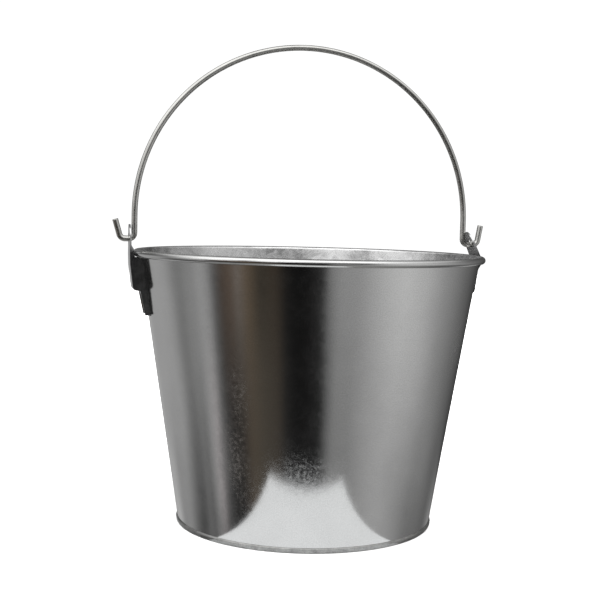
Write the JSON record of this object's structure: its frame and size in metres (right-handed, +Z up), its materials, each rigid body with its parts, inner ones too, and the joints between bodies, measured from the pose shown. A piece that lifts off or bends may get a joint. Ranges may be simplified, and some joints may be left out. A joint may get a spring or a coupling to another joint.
{
  "type": "florist bucket",
  "caption": "Tapered sheet-steel pail with a rolled wired rim, a seamed base, riveted channel ears and a swinging wire bail, for holding cut flowers in water.",
  "frame": {"origin": "centre of the ring that the pail stands on, on the axis of the tapered wall", "axes": "+Z up along the wall's axis, +X along the bail's hinge line towards the right ear (the bent one), +Y towards the wall's lock seam at the back"},
  "size_m": [0.2467, 0.228, 0.3093],
  "materials": {
    "pail_sheet": "satin to glossy zinc- or tin-coated sheet with a fine mottled spangle and light scratches",
    "base_sheet": "the same coated sheet, duller inside",
    "rim_wire_steel": "plain drawn steel wire, hidden inside the rolled rim",
    "bail_wire": "drawn galvanised wire, satin, slightly streaked along its length",
    "ear_sheet": "stamped coated sheet, satin with bright worn edges",
    "rivet_steel": "tinned steel, satin"
  },
  "bodies": {
    "pail": {"pail_wall": "pail_sheet", "base_pan": "base_sheet", "rim_wire": "rim_wire_steel", "ear_left": "ear_sheet", "ear_right": "ear_sheet", "rivet_left_1": "rivet_steel", "rivet_left_2": "rivet_steel", "rivet_right_1": "rivet_steel", "rivet_right_2": "rivet_steel"},
    "bail": {"bail": "bail_wire"}
  },
  "joints": [
    {"name": "bail_swing", "type": "hinge", "parent": "pail", "child": "bail", "pos_m": [0, 0, 0.183], "axis": [1, 0, 0], "range_deg": [-94, 94]}
  ]
}
